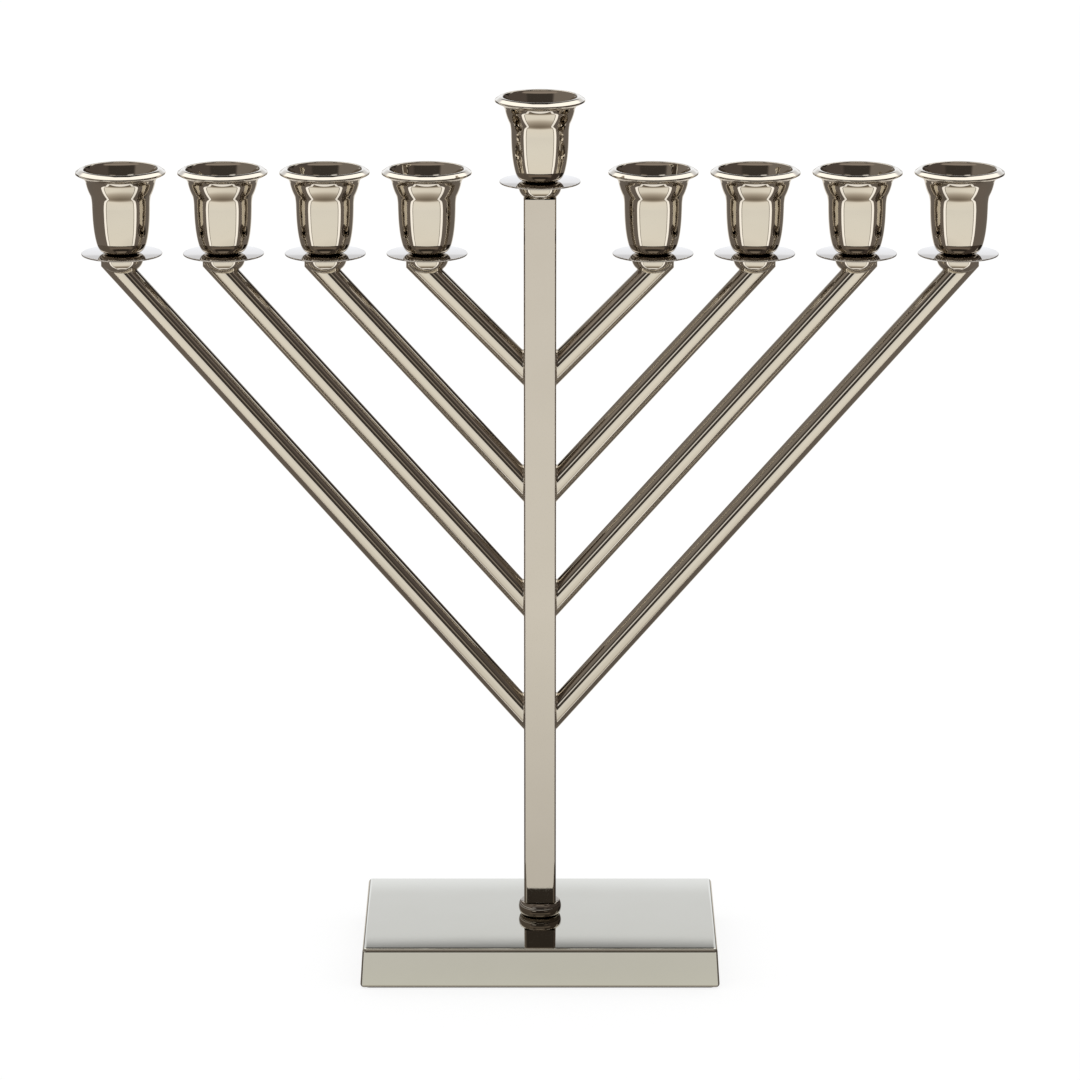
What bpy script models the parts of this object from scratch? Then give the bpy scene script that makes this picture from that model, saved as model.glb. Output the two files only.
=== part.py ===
"""A nine-branched menorah of straight tubes: eight arms and a taller centre cup on a weighted base.

The origin is under the middle of the base, on the surface the menorah stands on. +X is the
menorah's right seen from the front, +Y is its back and +Z is up. All lengths are in metres.
"""

import math

import bmesh
import bpy
from mathutils import Matrix, Vector

MM = 0.001
TOUCH_GAP = 0.3 * MM  # left between two pieces that touch
MERGE_DISTANCE = 0.00005

# Base: a pressed shell over a ballast plate, closed below by a board and felt.
BASE_WIDTH = 162.0 * MM
BASE_DEPTH = 105.0 * MM
BASE_HEIGHT = 18.8 * MM
BASE_DRAFT = 1.2 * MM  # how far each side leans in from the rim to the top
BASE_EDGE_RADIUS = 2.0 * MM
SHELL_WALL = 1.2 * MM
LINER_CLEARANCE = 0.8 * MM  # from the shell's wall to the plates in it, clear of its rounded edge
FELT_THICKNESS = 1.5 * MM
FELT_PROUD = 0.6 * MM  # how far the felt stands below the shell's rim
BOARD_THICKNESS = 2.0 * MM

# Stud, washer and nut that pull the column down onto the base.
STUD_DIAMETER = 6.0 * MM
STUD_CLEARANCE = 0.3 * MM
STUD_TIP = 0.8 * MM  # stud left showing below the nut
WASHER_DIAMETER = 16.0 * MM
WASHER_THICKNESS = 1.6 * MM
NUT_ACROSS_FLATS = 10.0 * MM
NUT_HEIGHT = 5.0 * MM
PLUG_HEIGHT = 22.0 * MM
PLUG_FLOOR = 3.0 * MM  # solid metal left above the stud's hole

# Bead between the base and the column.
BEAD_OVERHANG = 2.5 * MM  # past the column's flat sides
BEAD_HEIGHT = 6.4 * MM
BEAD_SHOULDER = 1.4 * MM  # how far the bead's flat faces stay inside its widest ring

# Column: square tube.
COLUMN_WIDTH = 14.5 * MM
COLUMN_WALL = 1.2 * MM
COLUMN_EDGE_RADIUS = 1.3 * MM

# Bowls: the half-round sockets that carry the cups.
BOWL_OVERHANG = 2.15 * MM  # past the column's flat sides
BOWL_LIP = 1.9 * MM
BOWL_DEPTH = 8.5 * MM
COLUMN_BOWL_DEPTH = 5.85 * MM  # the centre bowl is cut flat to sit on the column

# Arms: round tubes, mitred to the column and coped to the bowls.
ARM_DIAMETER = 11.0 * MM
ARM_WALL = 1.2 * MM
ARM_ROOT_TOP = 274.7 * MM  # where the innermost arm's axis meets the column's side
ARM_ROOT_PITCH = 53.3 * MM
ARM_CROSSING_DROP = 7.7 * MM  # the arm's axis crosses the cup's axis this far below the seat

# Cups: spun shells with a flared brim.
CUP_HEIGHT = 37.75 * MM
CUP_WALL = 0.9 * MM
BRIM_RADIUS = 19.95 * MM
BRIM_DROP = 1.7 * MM  # from the crest of the lip down to the brim's edge
CREST_RADIUS = 17.4 * MM  # outer edge of the lip's flat crest
CREST_WIDTH = 0.8 * MM
NECK_RADIUS = 15.55 * MM
NECK_DROP = 5.1 * MM  # below the crest
WAIST_RADIUS = 12.55 * MM
WAIST_DROP = 15.9 * MM
BARREL_TAPER = 2.6 * MM
BARREL_TAPER_POWER = 2.4
CUP_FOOT_RADIUS = 8.3 * MM
CUP_FOOT_ROUND = 2.2 * MM
CUP_FOOT_BULGE = (1.1 * MM, 0.66 * MM)  # the foot's round passes this far out and up from its edge
BRIM_SPACING = 5.3 * MM  # clear width between neighbouring brims
CENTRE_BRIM_SPACING = 10.3 * MM  # between the centre cup's brim and its neighbours'

# Drip pans and the screws that hold cup and pan on the bowl.
PAN_RADIUS = 18.0 * MM
PAN_THICKNESS = 0.7 * MM
SCREW_DIAMETER = 3.4 * MM
SCREW_CLEARANCE = 0.3 * MM
SCREW_HEAD_DIAMETER = 6.4 * MM
SCREW_HEAD_HEIGHT = 2.2 * MM
SCREW_HEAD_ROUND = 0.5 * MM
SCREW_BORE_DEPTH = 5.0 * MM

# Heights of the seats, the top faces that the drip pans lie on.
SIDE_SEAT = 326.65 * MM
CENTRE_SEAT = 359.15 * MM

# Facets round the turned pieces, and points along the curves of their outlines.
TURNED_STEPS = 16
SCREW_STEPS = 12
ARM_SEGMENTS = 16
EDGE_STEPS = 3
BEAD_CURVE_STEPS = 6
BOWL_CURVE_STEPS = 5
FUNNEL_STEPS = 4
BARREL_STEPS = 3
SHARP_ANGLE = math.radians(35)

# Sizes that follow from the ones above.
BASE_RIM = FELT_PROUD
BOARD_LEVEL = FELT_THICKNESS + TOUCH_GAP
STUD_BOTTOM = BOARD_LEVEL + BOARD_THICKNESS + TOUCH_GAP
NUT_LEVEL = STUD_BOTTOM + STUD_TIP
WASHER_LEVEL = NUT_LEVEL + NUT_HEIGHT + TOUCH_GAP
BALLAST_LEVEL = WASHER_LEVEL + WASHER_THICKNESS + TOUCH_GAP
BALLAST_TOP = BASE_HEIGHT - SHELL_WALL - TOUCH_GAP
BEAD_LEVEL = BASE_HEIGHT + TOUCH_GAP
BEAD_RADIUS = COLUMN_WIDTH / 2 + BEAD_OVERHANG
COLUMN_LEVEL = BEAD_LEVEL + BEAD_HEIGHT + TOUCH_GAP
BOWL_RADIUS = COLUMN_WIDTH / 2 + BOWL_OVERHANG
COLUMN_TOP = CENTRE_SEAT - TOUCH_GAP - COLUMN_BOWL_DEPTH - TOUCH_GAP
STUD_HOLE_RADIUS = STUD_DIAMETER / 2 + STUD_CLEARANCE
SCREW_HOLE_RADIUS = SCREW_DIAMETER / 2 + SCREW_CLEARANCE
CUP_PITCH = 2 * BRIM_RADIUS + BRIM_SPACING
FIRST_CUP_X = 2 * BRIM_RADIUS + CENTRE_BRIM_SPACING
ARMS_PER_SIDE = 4

# Colour, metallic and roughness of each finish.
NICKEL = ((0.69, 0.65, 0.58), 1.0, 0.08)
POLISHED_TOP = ((0.60, 0.60, 0.59), 1.0, 0.10)
ZINC = ((0.55, 0.56, 0.58), 1.0, 0.35)
RAW_STEEL = ((0.28, 0.27, 0.26), 1.0, 0.55)
FIBREBOARD = ((0.24, 0.15, 0.08), 0.0, 0.85)
FELT = ((0.03, 0.03, 0.035), 0.0, 0.95)


def clear_scene():
    """Removes whatever the file opened with."""
    for obj in list(bpy.data.objects):
        bpy.data.objects.remove(obj)


def new_collection(name):
    """A collection linked to the scene."""
    collection = bpy.data.collections.new(name)
    bpy.context.scene.collection.children.link(collection)
    return collection


clear_scene()
MENORAH = new_collection("menorah")
CUTTERS = new_collection("cutters")


# ---------------------------------------------------------------- tools shared by all pieces


def give_material(obj, finish):
    """A Principled material of the piece's own, named after it."""
    colour, metallic, roughness = finish
    material = bpy.data.materials.new(obj.name)
    material.use_nodes = True
    shader = material.node_tree.nodes["Principled BSDF"]
    shader.inputs["Base Color"].default_value = (*colour, 1.0)
    shader.inputs["Metallic"].default_value = metallic
    shader.inputs["Roughness"].default_value = roughness
    obj.data.materials.append(material)


def add_piece(name, mesh_data, finish, location=(0.0, 0.0, 0.0)):
    """A visible piece of the menorah."""
    obj = bpy.data.objects.new(name, mesh_data)
    obj.location = location
    MENORAH.objects.link(obj)
    give_material(obj, finish)
    return obj


def add_cutter(name, mesh_data, location=(0.0, 0.0, 0.0)):
    """A guide shape for Boolean modifiers, left out of the finished object."""
    obj = bpy.data.objects.new(name, mesh_data)
    obj.location = location
    obj.hide_render = True
    obj.display_type = "WIRE"
    CUTTERS.objects.link(obj)
    return obj


def mesh_from(bm, name):
    """Turns a bmesh into mesh data and frees it."""
    data = bpy.data.meshes.new(name)
    bm.normal_update()
    bm.to_mesh(data)
    bm.free()
    return data


def box_mesh(name, width, depth, height, edge_radius=0.0):
    """A block standing on z = 0, its upright edges rounded if a radius is given."""
    bm = bmesh.new()
    bmesh.ops.create_cube(bm, size=1.0)
    bmesh.ops.scale(bm, vec=(width, depth, height), verts=bm.verts)
    bmesh.ops.translate(bm, vec=(0.0, 0.0, height / 2), verts=bm.verts)
    if edge_radius:
        upright = [e for e in bm.edges if abs(e.verts[0].co.z - e.verts[1].co.z) > height / 2]
        bmesh.ops.bevel(
            bm, geom=upright, offset=edge_radius, segments=EDGE_STEPS, profile=0.5, affect="EDGES"
        )
    return mesh_from(bm, name)


def cylinder_mesh(name, radius, height, segments):
    """A capped cylinder standing on z = 0."""
    bm = bmesh.new()
    bmesh.ops.create_cone(
        bm, cap_ends=True, segments=segments, radius1=radius, radius2=radius, depth=height
    )
    bmesh.ops.translate(bm, vec=(0.0, 0.0, height / 2), verts=bm.verts)
    return mesh_from(bm, name)


def profile_mesh(name, profile, closed):
    """The outline of a turned piece in the XZ plane, from (radius, height) points."""
    data = bpy.data.meshes.new(name)
    points = [(radius, 0.0, height) for radius, height in profile]
    edges = [(i, i + 1) for i in range(len(points) - 1)]
    if closed:
        edges.append((len(points) - 1, 0))
    data.from_pydata(points, edges, [])
    return data


def turn(obj, steps):
    """Turns the object's outline round its own Z axis."""
    screw = obj.modifiers.new("turned", "SCREW")
    screw.steps = steps
    screw.render_steps = steps
    screw.use_merge_vertices = True
    screw.merge_threshold = MERGE_DISTANCE
    screw.use_smooth_shade = True
    return obj


def cut_with(obj, cutter, operation="DIFFERENCE"):
    """Cuts obj with the cutter, or keeps only what they share."""
    modifier = obj.modifiers.new(operation.lower(), "BOOLEAN")
    modifier.operation = operation
    modifier.solver = "EXACT"
    modifier.object = cutter


def shell_out(obj, thickness):
    """Gives an open surface its wall, growing inwards."""
    solidify = obj.modifiers.new("wall", "SOLIDIFY")
    solidify.thickness = thickness
    solidify.offset = -1.0
    solidify.use_even_offset = True
    solidify.use_rim = True


def shade_round(data):
    """Smooth shading that keeps the true corners sharp."""
    data.shade_smooth()
    data.set_sharp_from_angle(angle=SHARP_ANGLE)


# ---------------------------------------------------------------- base


def base_half_size(level):
    """Half the base's width and depth at a height above the table, following its draft."""
    lean = BASE_DRAFT * (level - BASE_RIM) / (BASE_HEIGHT - BASE_RIM)
    return BASE_WIDTH / 2 - lean, BASE_DEPTH / 2 - lean


def liner_size(level):
    """Width and depth of a plate that lies inside the shell with its top at that height."""
    half_width, half_depth = base_half_size(level)
    inset = SHELL_WALL + LINER_CLEARANCE
    return 2 * (half_width - inset), 2 * (half_depth - inset)


def stud_hole_cutter():
    """One long cylinder that opens every hole the base stud passes through."""
    height = COLUMN_LEVEL + PLUG_HEIGHT - PLUG_FLOOR
    return add_cutter("stud_hole", cylinder_mesh("stud_hole", STUD_HOLE_RADIUS, height, TURNED_STEPS))


def base_shell(stud_hole):
    """Pressed shell with leaning sides, rounded edges and an open underside."""
    bm = bmesh.new()
    bmesh.ops.create_cube(bm, size=1.0)
    height = BASE_HEIGHT - BASE_RIM
    bmesh.ops.scale(bm, vec=(BASE_WIDTH, BASE_DEPTH, height), verts=bm.verts)
    bmesh.ops.translate(bm, vec=(0.0, 0.0, BASE_RIM + height / 2), verts=bm.verts)
    for vert in bm.verts:
        half_width, half_depth = base_half_size(vert.co.z)
        vert.co.x = math.copysign(half_width, vert.co.x)
        vert.co.y = math.copysign(half_depth, vert.co.y)
    rounded = [e for e in bm.edges if max(v.co.z for v in e.verts) > BASE_RIM + height / 2]
    bmesh.ops.bevel(
        bm, geom=rounded, offset=BASE_EDGE_RADIUS, segments=EDGE_STEPS, profile=0.5, affect="EDGES"
    )
    bm.normal_update()
    underside = [f for f in bm.faces if f.normal.z < -0.9]
    bmesh.ops.delete(bm, geom=underside, context="FACES")
    obj = add_piece("base_shell", mesh_from(bm, "base_shell"), POLISHED_TOP)
    shade_round(obj.data)
    shell_out(obj, SHELL_WALL)
    cut_with(obj, stud_hole)


def liner_plate(name, bottom, top, finish):
    """A flat plate that fills the shell from one level to another."""
    width, depth = liner_size(top)
    data = box_mesh(name, width, depth, top - bottom, BASE_EDGE_RADIUS)
    return add_piece(name, data, finish, (0.0, 0.0, bottom))


def base_pieces(stud_hole):
    """Shell, ballast, closing board and felt."""
    base_shell(stud_hole)
    ballast = liner_plate("ballast_plate", BALLAST_LEVEL, BALLAST_TOP, RAW_STEEL)
    cut_with(ballast, stud_hole)
    liner_plate("closing_board", BOARD_LEVEL, BOARD_LEVEL + BOARD_THICKNESS, FIBREBOARD)
    liner_plate("felt_pad", 0.0, FELT_THICKNESS, FELT)


def ring_profile(inner, outer, bottom, top):
    """Outline of a plain ring, outer side first and running down."""
    return [(inner, top), (outer, top), (outer, bottom), (inner, bottom)]


def base_fixing(stud_hole):
    """Stud, washer and nut on the base's axis."""
    stud_top = COLUMN_LEVEL + PLUG_HEIGHT - PLUG_FLOOR - TOUCH_GAP
    stud = cylinder_mesh("base_stud", STUD_DIAMETER / 2, stud_top - STUD_BOTTOM, SCREW_STEPS)
    shade_round(stud)
    add_piece("base_stud", stud, ZINC, (0.0, 0.0, STUD_BOTTOM))

    washer_outline = ring_profile(STUD_HOLE_RADIUS, WASHER_DIAMETER / 2, 0.0, WASHER_THICKNESS)
    washer_data = profile_mesh("stud_washer", washer_outline, True)
    turn(add_piece("stud_washer", washer_data, ZINC, (0.0, 0.0, WASHER_LEVEL)), TURNED_STEPS)

    corner_radius = NUT_ACROSS_FLATS / 2 / math.cos(math.pi / 6)
    nut_data = cylinder_mesh("stud_nut", corner_radius, NUT_HEIGHT, 6)
    nut = add_piece("stud_nut", nut_data, ZINC, (0.0, 0.0, NUT_LEVEL))
    cut_with(nut, stud_hole)


# ---------------------------------------------------------------- column


def bead_profile():
    """Outline of the bead: flat faces joined outside by a half round."""
    flat = BEAD_RADIUS - BEAD_SHOULDER
    side = []
    for i in range(BEAD_CURVE_STEPS + 1):
        angle = math.pi / 2 - math.pi * i / BEAD_CURVE_STEPS
        radius = flat + BEAD_SHOULDER * math.cos(angle)
        side.append((radius, BEAD_HEIGHT / 2 * (1 + math.sin(angle))))
    return [(STUD_HOLE_RADIUS, BEAD_HEIGHT), *side, (STUD_HOLE_RADIUS, 0.0)]


def column_pieces(stud_hole):
    """Bead, square tube and the plug soldered into the tube's foot."""
    bead_data = profile_mesh("foot_bead", bead_profile(), True)
    turn(add_piece("foot_bead", bead_data, NICKEL, (0.0, 0.0, BEAD_LEVEL)), TURNED_STEPS)

    height = COLUMN_TOP - COLUMN_LEVEL
    outside = box_mesh("column", COLUMN_WIDTH, COLUMN_WIDTH, height, COLUMN_EDGE_RADIUS)
    column = add_piece("column", outside, NICKEL, (0.0, 0.0, COLUMN_LEVEL))
    bore_width = COLUMN_WIDTH - 2 * COLUMN_WALL
    bore_data = box_mesh("column_bore", bore_width, bore_width, height + 2 * COLUMN_WALL)
    bore = add_cutter("column_bore", bore_data, (0.0, 0.0, COLUMN_LEVEL - COLUMN_WALL))
    cut_with(column, bore)

    plug_width = bore_width - 2 * TOUCH_GAP
    plug_data = box_mesh("foot_plug", plug_width, plug_width, PLUG_HEIGHT)
    plug = add_piece("foot_plug", plug_data, ZINC, (0.0, 0.0, COLUMN_LEVEL))
    cut_with(plug, stud_hole)


# ---------------------------------------------------------------- bowls and arms


def bowl_side(depth, growth=0.0):
    """Outer side of a bowl, from its top edge down a short lip and round underneath.

    Heights are below the bowl's top face. A growth makes the same side larger all round.
    A full bowl's side stops short of the axis, where the outline closes it.
    """
    radius = BOWL_RADIUS + growth
    round_depth = BOWL_DEPTH - BOWL_LIP + growth
    reach = math.asin(min(1.0, (depth - BOWL_LIP + growth) / round_depth))
    side = [(radius, 0.0)]
    for i in range(BOWL_CURVE_STEPS + 1):
        angle = reach * i / BOWL_CURVE_STEPS
        side.append((radius * math.cos(angle), -BOWL_LIP - round_depth * math.sin(angle)))
    return [point for point in side if point[0] > MERGE_DISTANCE]


def bowl(name, location, depth):
    """A turned socket with a blind bore for the cup's screw. Its top face is at the location."""
    bore_floor = -SCREW_BORE_DEPTH
    bore = [(0.0, bore_floor), (SCREW_HOLE_RADIUS, bore_floor), (SCREW_HOLE_RADIUS, 0.0)]
    profile = [*bore, *bowl_side(depth), (0.0, -depth)]
    turn(add_piece(name, profile_mesh(name, profile, False), NICKEL, location), TURNED_STEPS)


def bowl_clearance_cutter(name, location):
    """The bowl's shape grown by the touching gap, and all the room above its top face."""
    room_height = BOWL_DEPTH
    side = bowl_side(BOWL_DEPTH, growth=TOUCH_GAP)
    above = [(0.0, room_height), (side[0][0], room_height)]
    profile = [*above, *side, (0.0, -BOWL_DEPTH - TOUCH_GAP)]
    return turn(add_cutter(name, profile_mesh(name, profile, False), location), TURNED_STEPS)


def arm_envelope(name, cup_x, side):
    """The room an arm may fill: from the column's flank to a round end flush with the bowl."""
    height = SIDE_SEAT - TOUCH_GAP
    bm = bmesh.new()
    bmesh.ops.create_cone(
        bm,
        cap_ends=True,
        segments=2 * TURNED_STEPS,
        radius1=BOWL_RADIUS,
        radius2=BOWL_RADIUS,
        depth=height,
    )
    bmesh.ops.translate(bm, vec=(cup_x, 0.0, height / 2), verts=bm.verts)
    flank = COLUMN_WIDTH / 2 + TOUCH_GAP
    for vert in bm.verts:
        if vert.co.x < cup_x - MERGE_DISTANCE:
            vert.co.x = flank
    if side < 0:
        bmesh.ops.scale(bm, vec=(-1.0, 1.0, 1.0), verts=bm.verts)
        bmesh.ops.reverse_faces(bm, faces=bm.faces)
    return add_cutter(name, mesh_from(bm, name))


def arm(name, root_z, cup_x, side, envelope, bowl_room):
    """A straight tube from the column's side to the bowl under a cup."""
    root = Vector((COLUMN_WIDTH / 2, 0.0, root_z))
    crossing = Vector((cup_x, 0.0, SIDE_SEAT - ARM_CROSSING_DROP))
    direction = (crossing - root).normalized()
    spare = 2 * ARM_DIAMETER  # tube past both ends, trimmed by the envelope
    length = (crossing - root).length + 2 * spare
    middle = (root + crossing) / 2
    if side < 0:
        direction.x = -direction.x
        middle.x = -middle.x

    bm = bmesh.new()
    bmesh.ops.create_cone(
        bm,
        cap_ends=False,
        segments=ARM_SEGMENTS,
        radius1=ARM_DIAMETER / 2,
        radius2=ARM_DIAMETER / 2,
        depth=length,
        matrix=Matrix.Rotation(math.pi / ARM_SEGMENTS, 4, "Z"),
    )
    data = mesh_from(bm, name)
    shade_round(data)
    obj = add_piece(name, data, NICKEL, middle)
    obj.rotation_mode = "QUATERNION"
    obj.rotation_quaternion = direction.to_track_quat("Z", "Y")
    shell_out(obj, ARM_WALL)
    cut_with(obj, envelope, "INTERSECT")
    cut_with(obj, bowl_room)


def branches():
    """The eight arms with their bowls, numbered outwards from the column."""
    for side, side_name in ((-1, "left"), (1, "right")):
        for number in range(1, ARMS_PER_SIDE + 1):
            place = f"{side_name}_{number}"
            cup_x = FIRST_CUP_X + (number - 1) * CUP_PITCH
            root_z = ARM_ROOT_TOP - (number - 1) * ARM_ROOT_PITCH
            seat = (side * cup_x, 0.0, SIDE_SEAT - TOUCH_GAP)
            bowl(f"bowl_{place}", seat, BOWL_DEPTH)
            envelope = arm_envelope(f"envelope_{place}", cup_x, side)
            bowl_room = bowl_clearance_cutter(f"bowl_room_{place}", seat)
            arm(f"arm_{place}", root_z, cup_x, side, envelope, bowl_room)


# ---------------------------------------------------------------- cups, pans and screws


def cup_profile():
    """Outer side of a cup from the brim's edge to the screw hole, heights above its underside.

    The wall grows inwards and upwards from this line, so the brim starts inside its own radius.
    """
    crest = CUP_HEIGHT - CUP_WALL
    brim_lean = math.atan2(BRIM_DROP, BRIM_RADIUS - CREST_RADIUS)
    profile = [
        (BRIM_RADIUS - CUP_WALL * math.sin(brim_lean), crest - BRIM_DROP),
        (CREST_RADIUS, crest),
        (CREST_RADIUS - CREST_WIDTH, crest),
        (NECK_RADIUS, crest - BRIM_DROP / 2),
    ]
    for i in range(FUNNEL_STEPS + 1):
        share = i / FUNNEL_STEPS
        swing = share * share * (3 - 2 * share)
        radius = NECK_RADIUS + (WAIST_RADIUS - NECK_RADIUS) * swing
        profile.append((radius, CUP_HEIGHT - NECK_DROP - (WAIST_DROP - NECK_DROP) * share))
    barrel_top = CUP_HEIGHT - WAIST_DROP
    for i in range(1, BARREL_STEPS + 1):
        share = i / BARREL_STEPS * (1 - CUP_FOOT_ROUND / barrel_top)
        radius = WAIST_RADIUS - BARREL_TAPER * share**BARREL_TAPER_POWER
        profile.append((radius, barrel_top * (1 - share)))
    profile.append((CUP_FOOT_RADIUS + CUP_FOOT_BULGE[0], CUP_FOOT_BULGE[1]))
    profile.append((CUP_FOOT_RADIUS, 0.0))
    profile.append((SCREW_HOLE_RADIUS, 0.0))
    return profile


def screw_profile():
    """Outline of a cheese-head screw, heights from the underside of its head."""
    head = SCREW_HEAD_DIAMETER / 2
    shank = SCREW_DIAMETER / 2
    stack = TOUCH_GAP + CUP_WALL + TOUCH_GAP + PAN_THICKNESS + TOUCH_GAP
    tip = -(stack + SCREW_BORE_DEPTH - TOUCH_GAP)
    return [
        (0.0, SCREW_HEAD_HEIGHT),
        (head - SCREW_HEAD_ROUND, SCREW_HEAD_HEIGHT),
        (head, SCREW_HEAD_HEIGHT - SCREW_HEAD_ROUND),
        (head, 0.0),
        (shank, 0.0),
        (shank, tip),
        (0.0, tip),
    ]


def candle_holder(place, seat):
    """A cup on its drip pan, with the screw that clamps both to the bowl.

    The three lift off together, so they hang on one empty at the seat.
    """
    holder = bpy.data.objects.new(f"holder_{place}", None)
    holder.location = seat
    MENORAH.objects.link(holder)

    pan_outline = ring_profile(SCREW_HOLE_RADIUS, PAN_RADIUS, 0.0, PAN_THICKNESS)
    pan_name = f"drip_pan_{place}"
    pan = turn(add_piece(pan_name, profile_mesh(pan_name, pan_outline, True), NICKEL), TURNED_STEPS)

    cup_level = PAN_THICKNESS + TOUCH_GAP
    cup_name = f"cup_{place}"
    cup_data = profile_mesh(cup_name, cup_profile(), False)
    cup = turn(add_piece(cup_name, cup_data, NICKEL, (0.0, 0.0, cup_level)), TURNED_STEPS)
    shell_out(cup, CUP_WALL)

    head_level = cup_level + CUP_WALL + TOUCH_GAP
    screw_name = f"cup_screw_{place}"
    screw_data = profile_mesh(screw_name, screw_profile(), False)
    screw = turn(add_piece(screw_name, screw_data, ZINC, (0.0, 0.0, head_level)), SCREW_STEPS)

    for piece in (pan, cup, screw):
        piece.parent = holder


def candle_holders():
    """The centre holder on the column and four on each side."""
    bowl("bowl_centre", (0.0, 0.0, CENTRE_SEAT - TOUCH_GAP), COLUMN_BOWL_DEPTH)
    candle_holder("centre", (0.0, 0.0, CENTRE_SEAT))
    for side, side_name in ((-1, "left"), (1, "right")):
        for number in range(1, ARMS_PER_SIDE + 1):
            cup_x = FIRST_CUP_X + (number - 1) * CUP_PITCH
            candle_holder(f"{side_name}_{number}", (side * cup_x, 0.0, SIDE_SEAT))


stud_hole_tool = stud_hole_cutter()
base_pieces(stud_hole_tool)
base_fixing(stud_hole_tool)
column_pieces(stud_hole_tool)
branches()
candle_holders()
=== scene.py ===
"""Looks of a nine-branched menorah in bright nickel plate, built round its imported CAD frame."""

import math

import bpy
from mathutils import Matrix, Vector


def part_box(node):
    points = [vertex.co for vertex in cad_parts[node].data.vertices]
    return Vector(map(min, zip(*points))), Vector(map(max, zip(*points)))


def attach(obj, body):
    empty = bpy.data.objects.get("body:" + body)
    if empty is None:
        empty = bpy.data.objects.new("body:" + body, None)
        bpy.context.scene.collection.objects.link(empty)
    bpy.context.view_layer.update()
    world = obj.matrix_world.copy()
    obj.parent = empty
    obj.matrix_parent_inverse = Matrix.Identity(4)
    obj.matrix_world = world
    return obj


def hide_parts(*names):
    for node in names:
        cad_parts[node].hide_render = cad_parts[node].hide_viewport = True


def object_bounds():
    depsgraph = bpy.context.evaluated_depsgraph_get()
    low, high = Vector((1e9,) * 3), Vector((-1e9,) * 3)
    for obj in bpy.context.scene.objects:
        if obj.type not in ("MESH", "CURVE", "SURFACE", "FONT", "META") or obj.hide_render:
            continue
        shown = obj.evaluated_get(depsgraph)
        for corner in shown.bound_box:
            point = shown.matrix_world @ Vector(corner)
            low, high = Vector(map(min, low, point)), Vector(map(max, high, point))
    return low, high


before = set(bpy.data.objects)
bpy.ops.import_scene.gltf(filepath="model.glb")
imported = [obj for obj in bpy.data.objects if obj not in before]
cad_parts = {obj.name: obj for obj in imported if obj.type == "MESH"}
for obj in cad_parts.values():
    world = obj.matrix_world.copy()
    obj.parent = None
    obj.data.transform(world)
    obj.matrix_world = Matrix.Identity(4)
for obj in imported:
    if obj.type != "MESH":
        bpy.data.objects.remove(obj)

cad_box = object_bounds()
MM = 0.001

# ---------------------------------------------------------------- camera
# A long lens on a stand a little above the cups, tipped down at the menorah's middle.

CAMERA_PLACE = (0.0, -2.4598, 0.8434)
CAMERA_TIP = math.radians(14.76)
LENS_MM = 188.3
SENSOR_MM = 36.0

bpy.ops.object.select_all(action="DESELECT")
bpy.ops.object.camera_add(location=CAMERA_PLACE, rotation=(math.pi / 2 - CAMERA_TIP, 0.0, 0.0))
camera = bpy.context.object
camera.name = "camera"
camera.data.lens = LENS_MM
camera.data.sensor_width = SENSOR_MM
bpy.context.scene.camera = camera

# ---------------------------------------------------------------- studio
# A light tent: a white room for the eye, and what the mirror-bright metal sees of it. In front a
# cream sheet with a white hem slopes from the horizon down to the table. A white backdrop
# stands behind, a soft box hangs overhead, and the gaps between them are unlit brown cloth.


def linear(hex_colour):
    """Turns an sRGB hex colour into the linear values that nodes take."""
    channels = [int(hex_colour[i : i + 2], 16) / 255 for i in (1, 3, 5)]
    return tuple(c / 12.92 if c <= 0.04045 else ((c + 0.055) / 1.055) ** 2.4 for c in channels)


def add_node(tree, kind, inputs=None, **settings):
    """Adds a node with its settings, and links or sets its inputs."""
    made = tree.nodes.new(kind)
    for setting, value in settings.items():
        setattr(made, setting, value)
    for socket, value in (inputs or {}).items():
        if isinstance(value, bpy.types.NodeSocket):
            tree.links.new(value, made.inputs[socket])
        else:
            made.inputs[socket].default_value = value
    return made


def lit(hex_colour, strength):
    """A colour of light brighter than paper white can be."""
    return tuple(strength * channel for channel in linear(hex_colour)) + (1.0,)


studio = bpy.data.worlds.new("light_tent")
bpy.context.scene.world = studio
studio.use_nodes = True
tent = studio.node_tree
tent.nodes.clear()

direction = add_node(tent, "ShaderNodeTexCoord").outputs["Generated"]
axes = add_node(tent, "ShaderNodeSeparateXYZ", {0: direction}).outputs
steep = add_node(tent, "ShaderNodeMath", {0: axes["Z"]}, operation="ARCSINE").outputs[0]
rise = add_node(tent, "ShaderNodeMath", {0: steep}, operation="DEGREES").outputs[0]
forward = add_node(tent, "ShaderNodeMath", {0: axes["Y"], 1: -1.0}, operation="MULTIPLY").outputs[0]
heading = add_node(tent, "ShaderNodeMath", {0: axes["X"], 1: forward}, operation="ARCTAN2").outputs[0]
bearing = add_node(tent, "ShaderNodeMath", {0: heading}, operation="DEGREES").outputs[0]
off_front = add_node(tent, "ShaderNodeMath", {0: bearing}, operation="ABSOLUTE").outputs[0]


def rising(value, edge, softness):
    """0 below the edge and 1 above it, with a soft change between."""
    ramp = {"Value": value, "From Min": edge - softness, "From Max": edge + softness}
    return add_node(tent, "ShaderNodeMapRange", ramp, interpolation_type="SMOOTHSTEP").outputs[0]


def arithmetic(operation, first, second):
    """One sum on two values or sockets."""
    return add_node(tent, "ShaderNodeMath", {0: first, 1: second}, operation=operation).outputs[0]


def strip(value, low, high, softness):
    """1 between two edges and 0 outside them."""
    return arithmetic("SUBTRACT", rising(value, low, softness), rising(value, high, softness))


def shared(*masks):
    """Where several masks meet."""
    together = masks[0]
    for mask in masks[1:]:
        together = arithmetic("MULTIPLY", together, mask)
    return together


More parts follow.
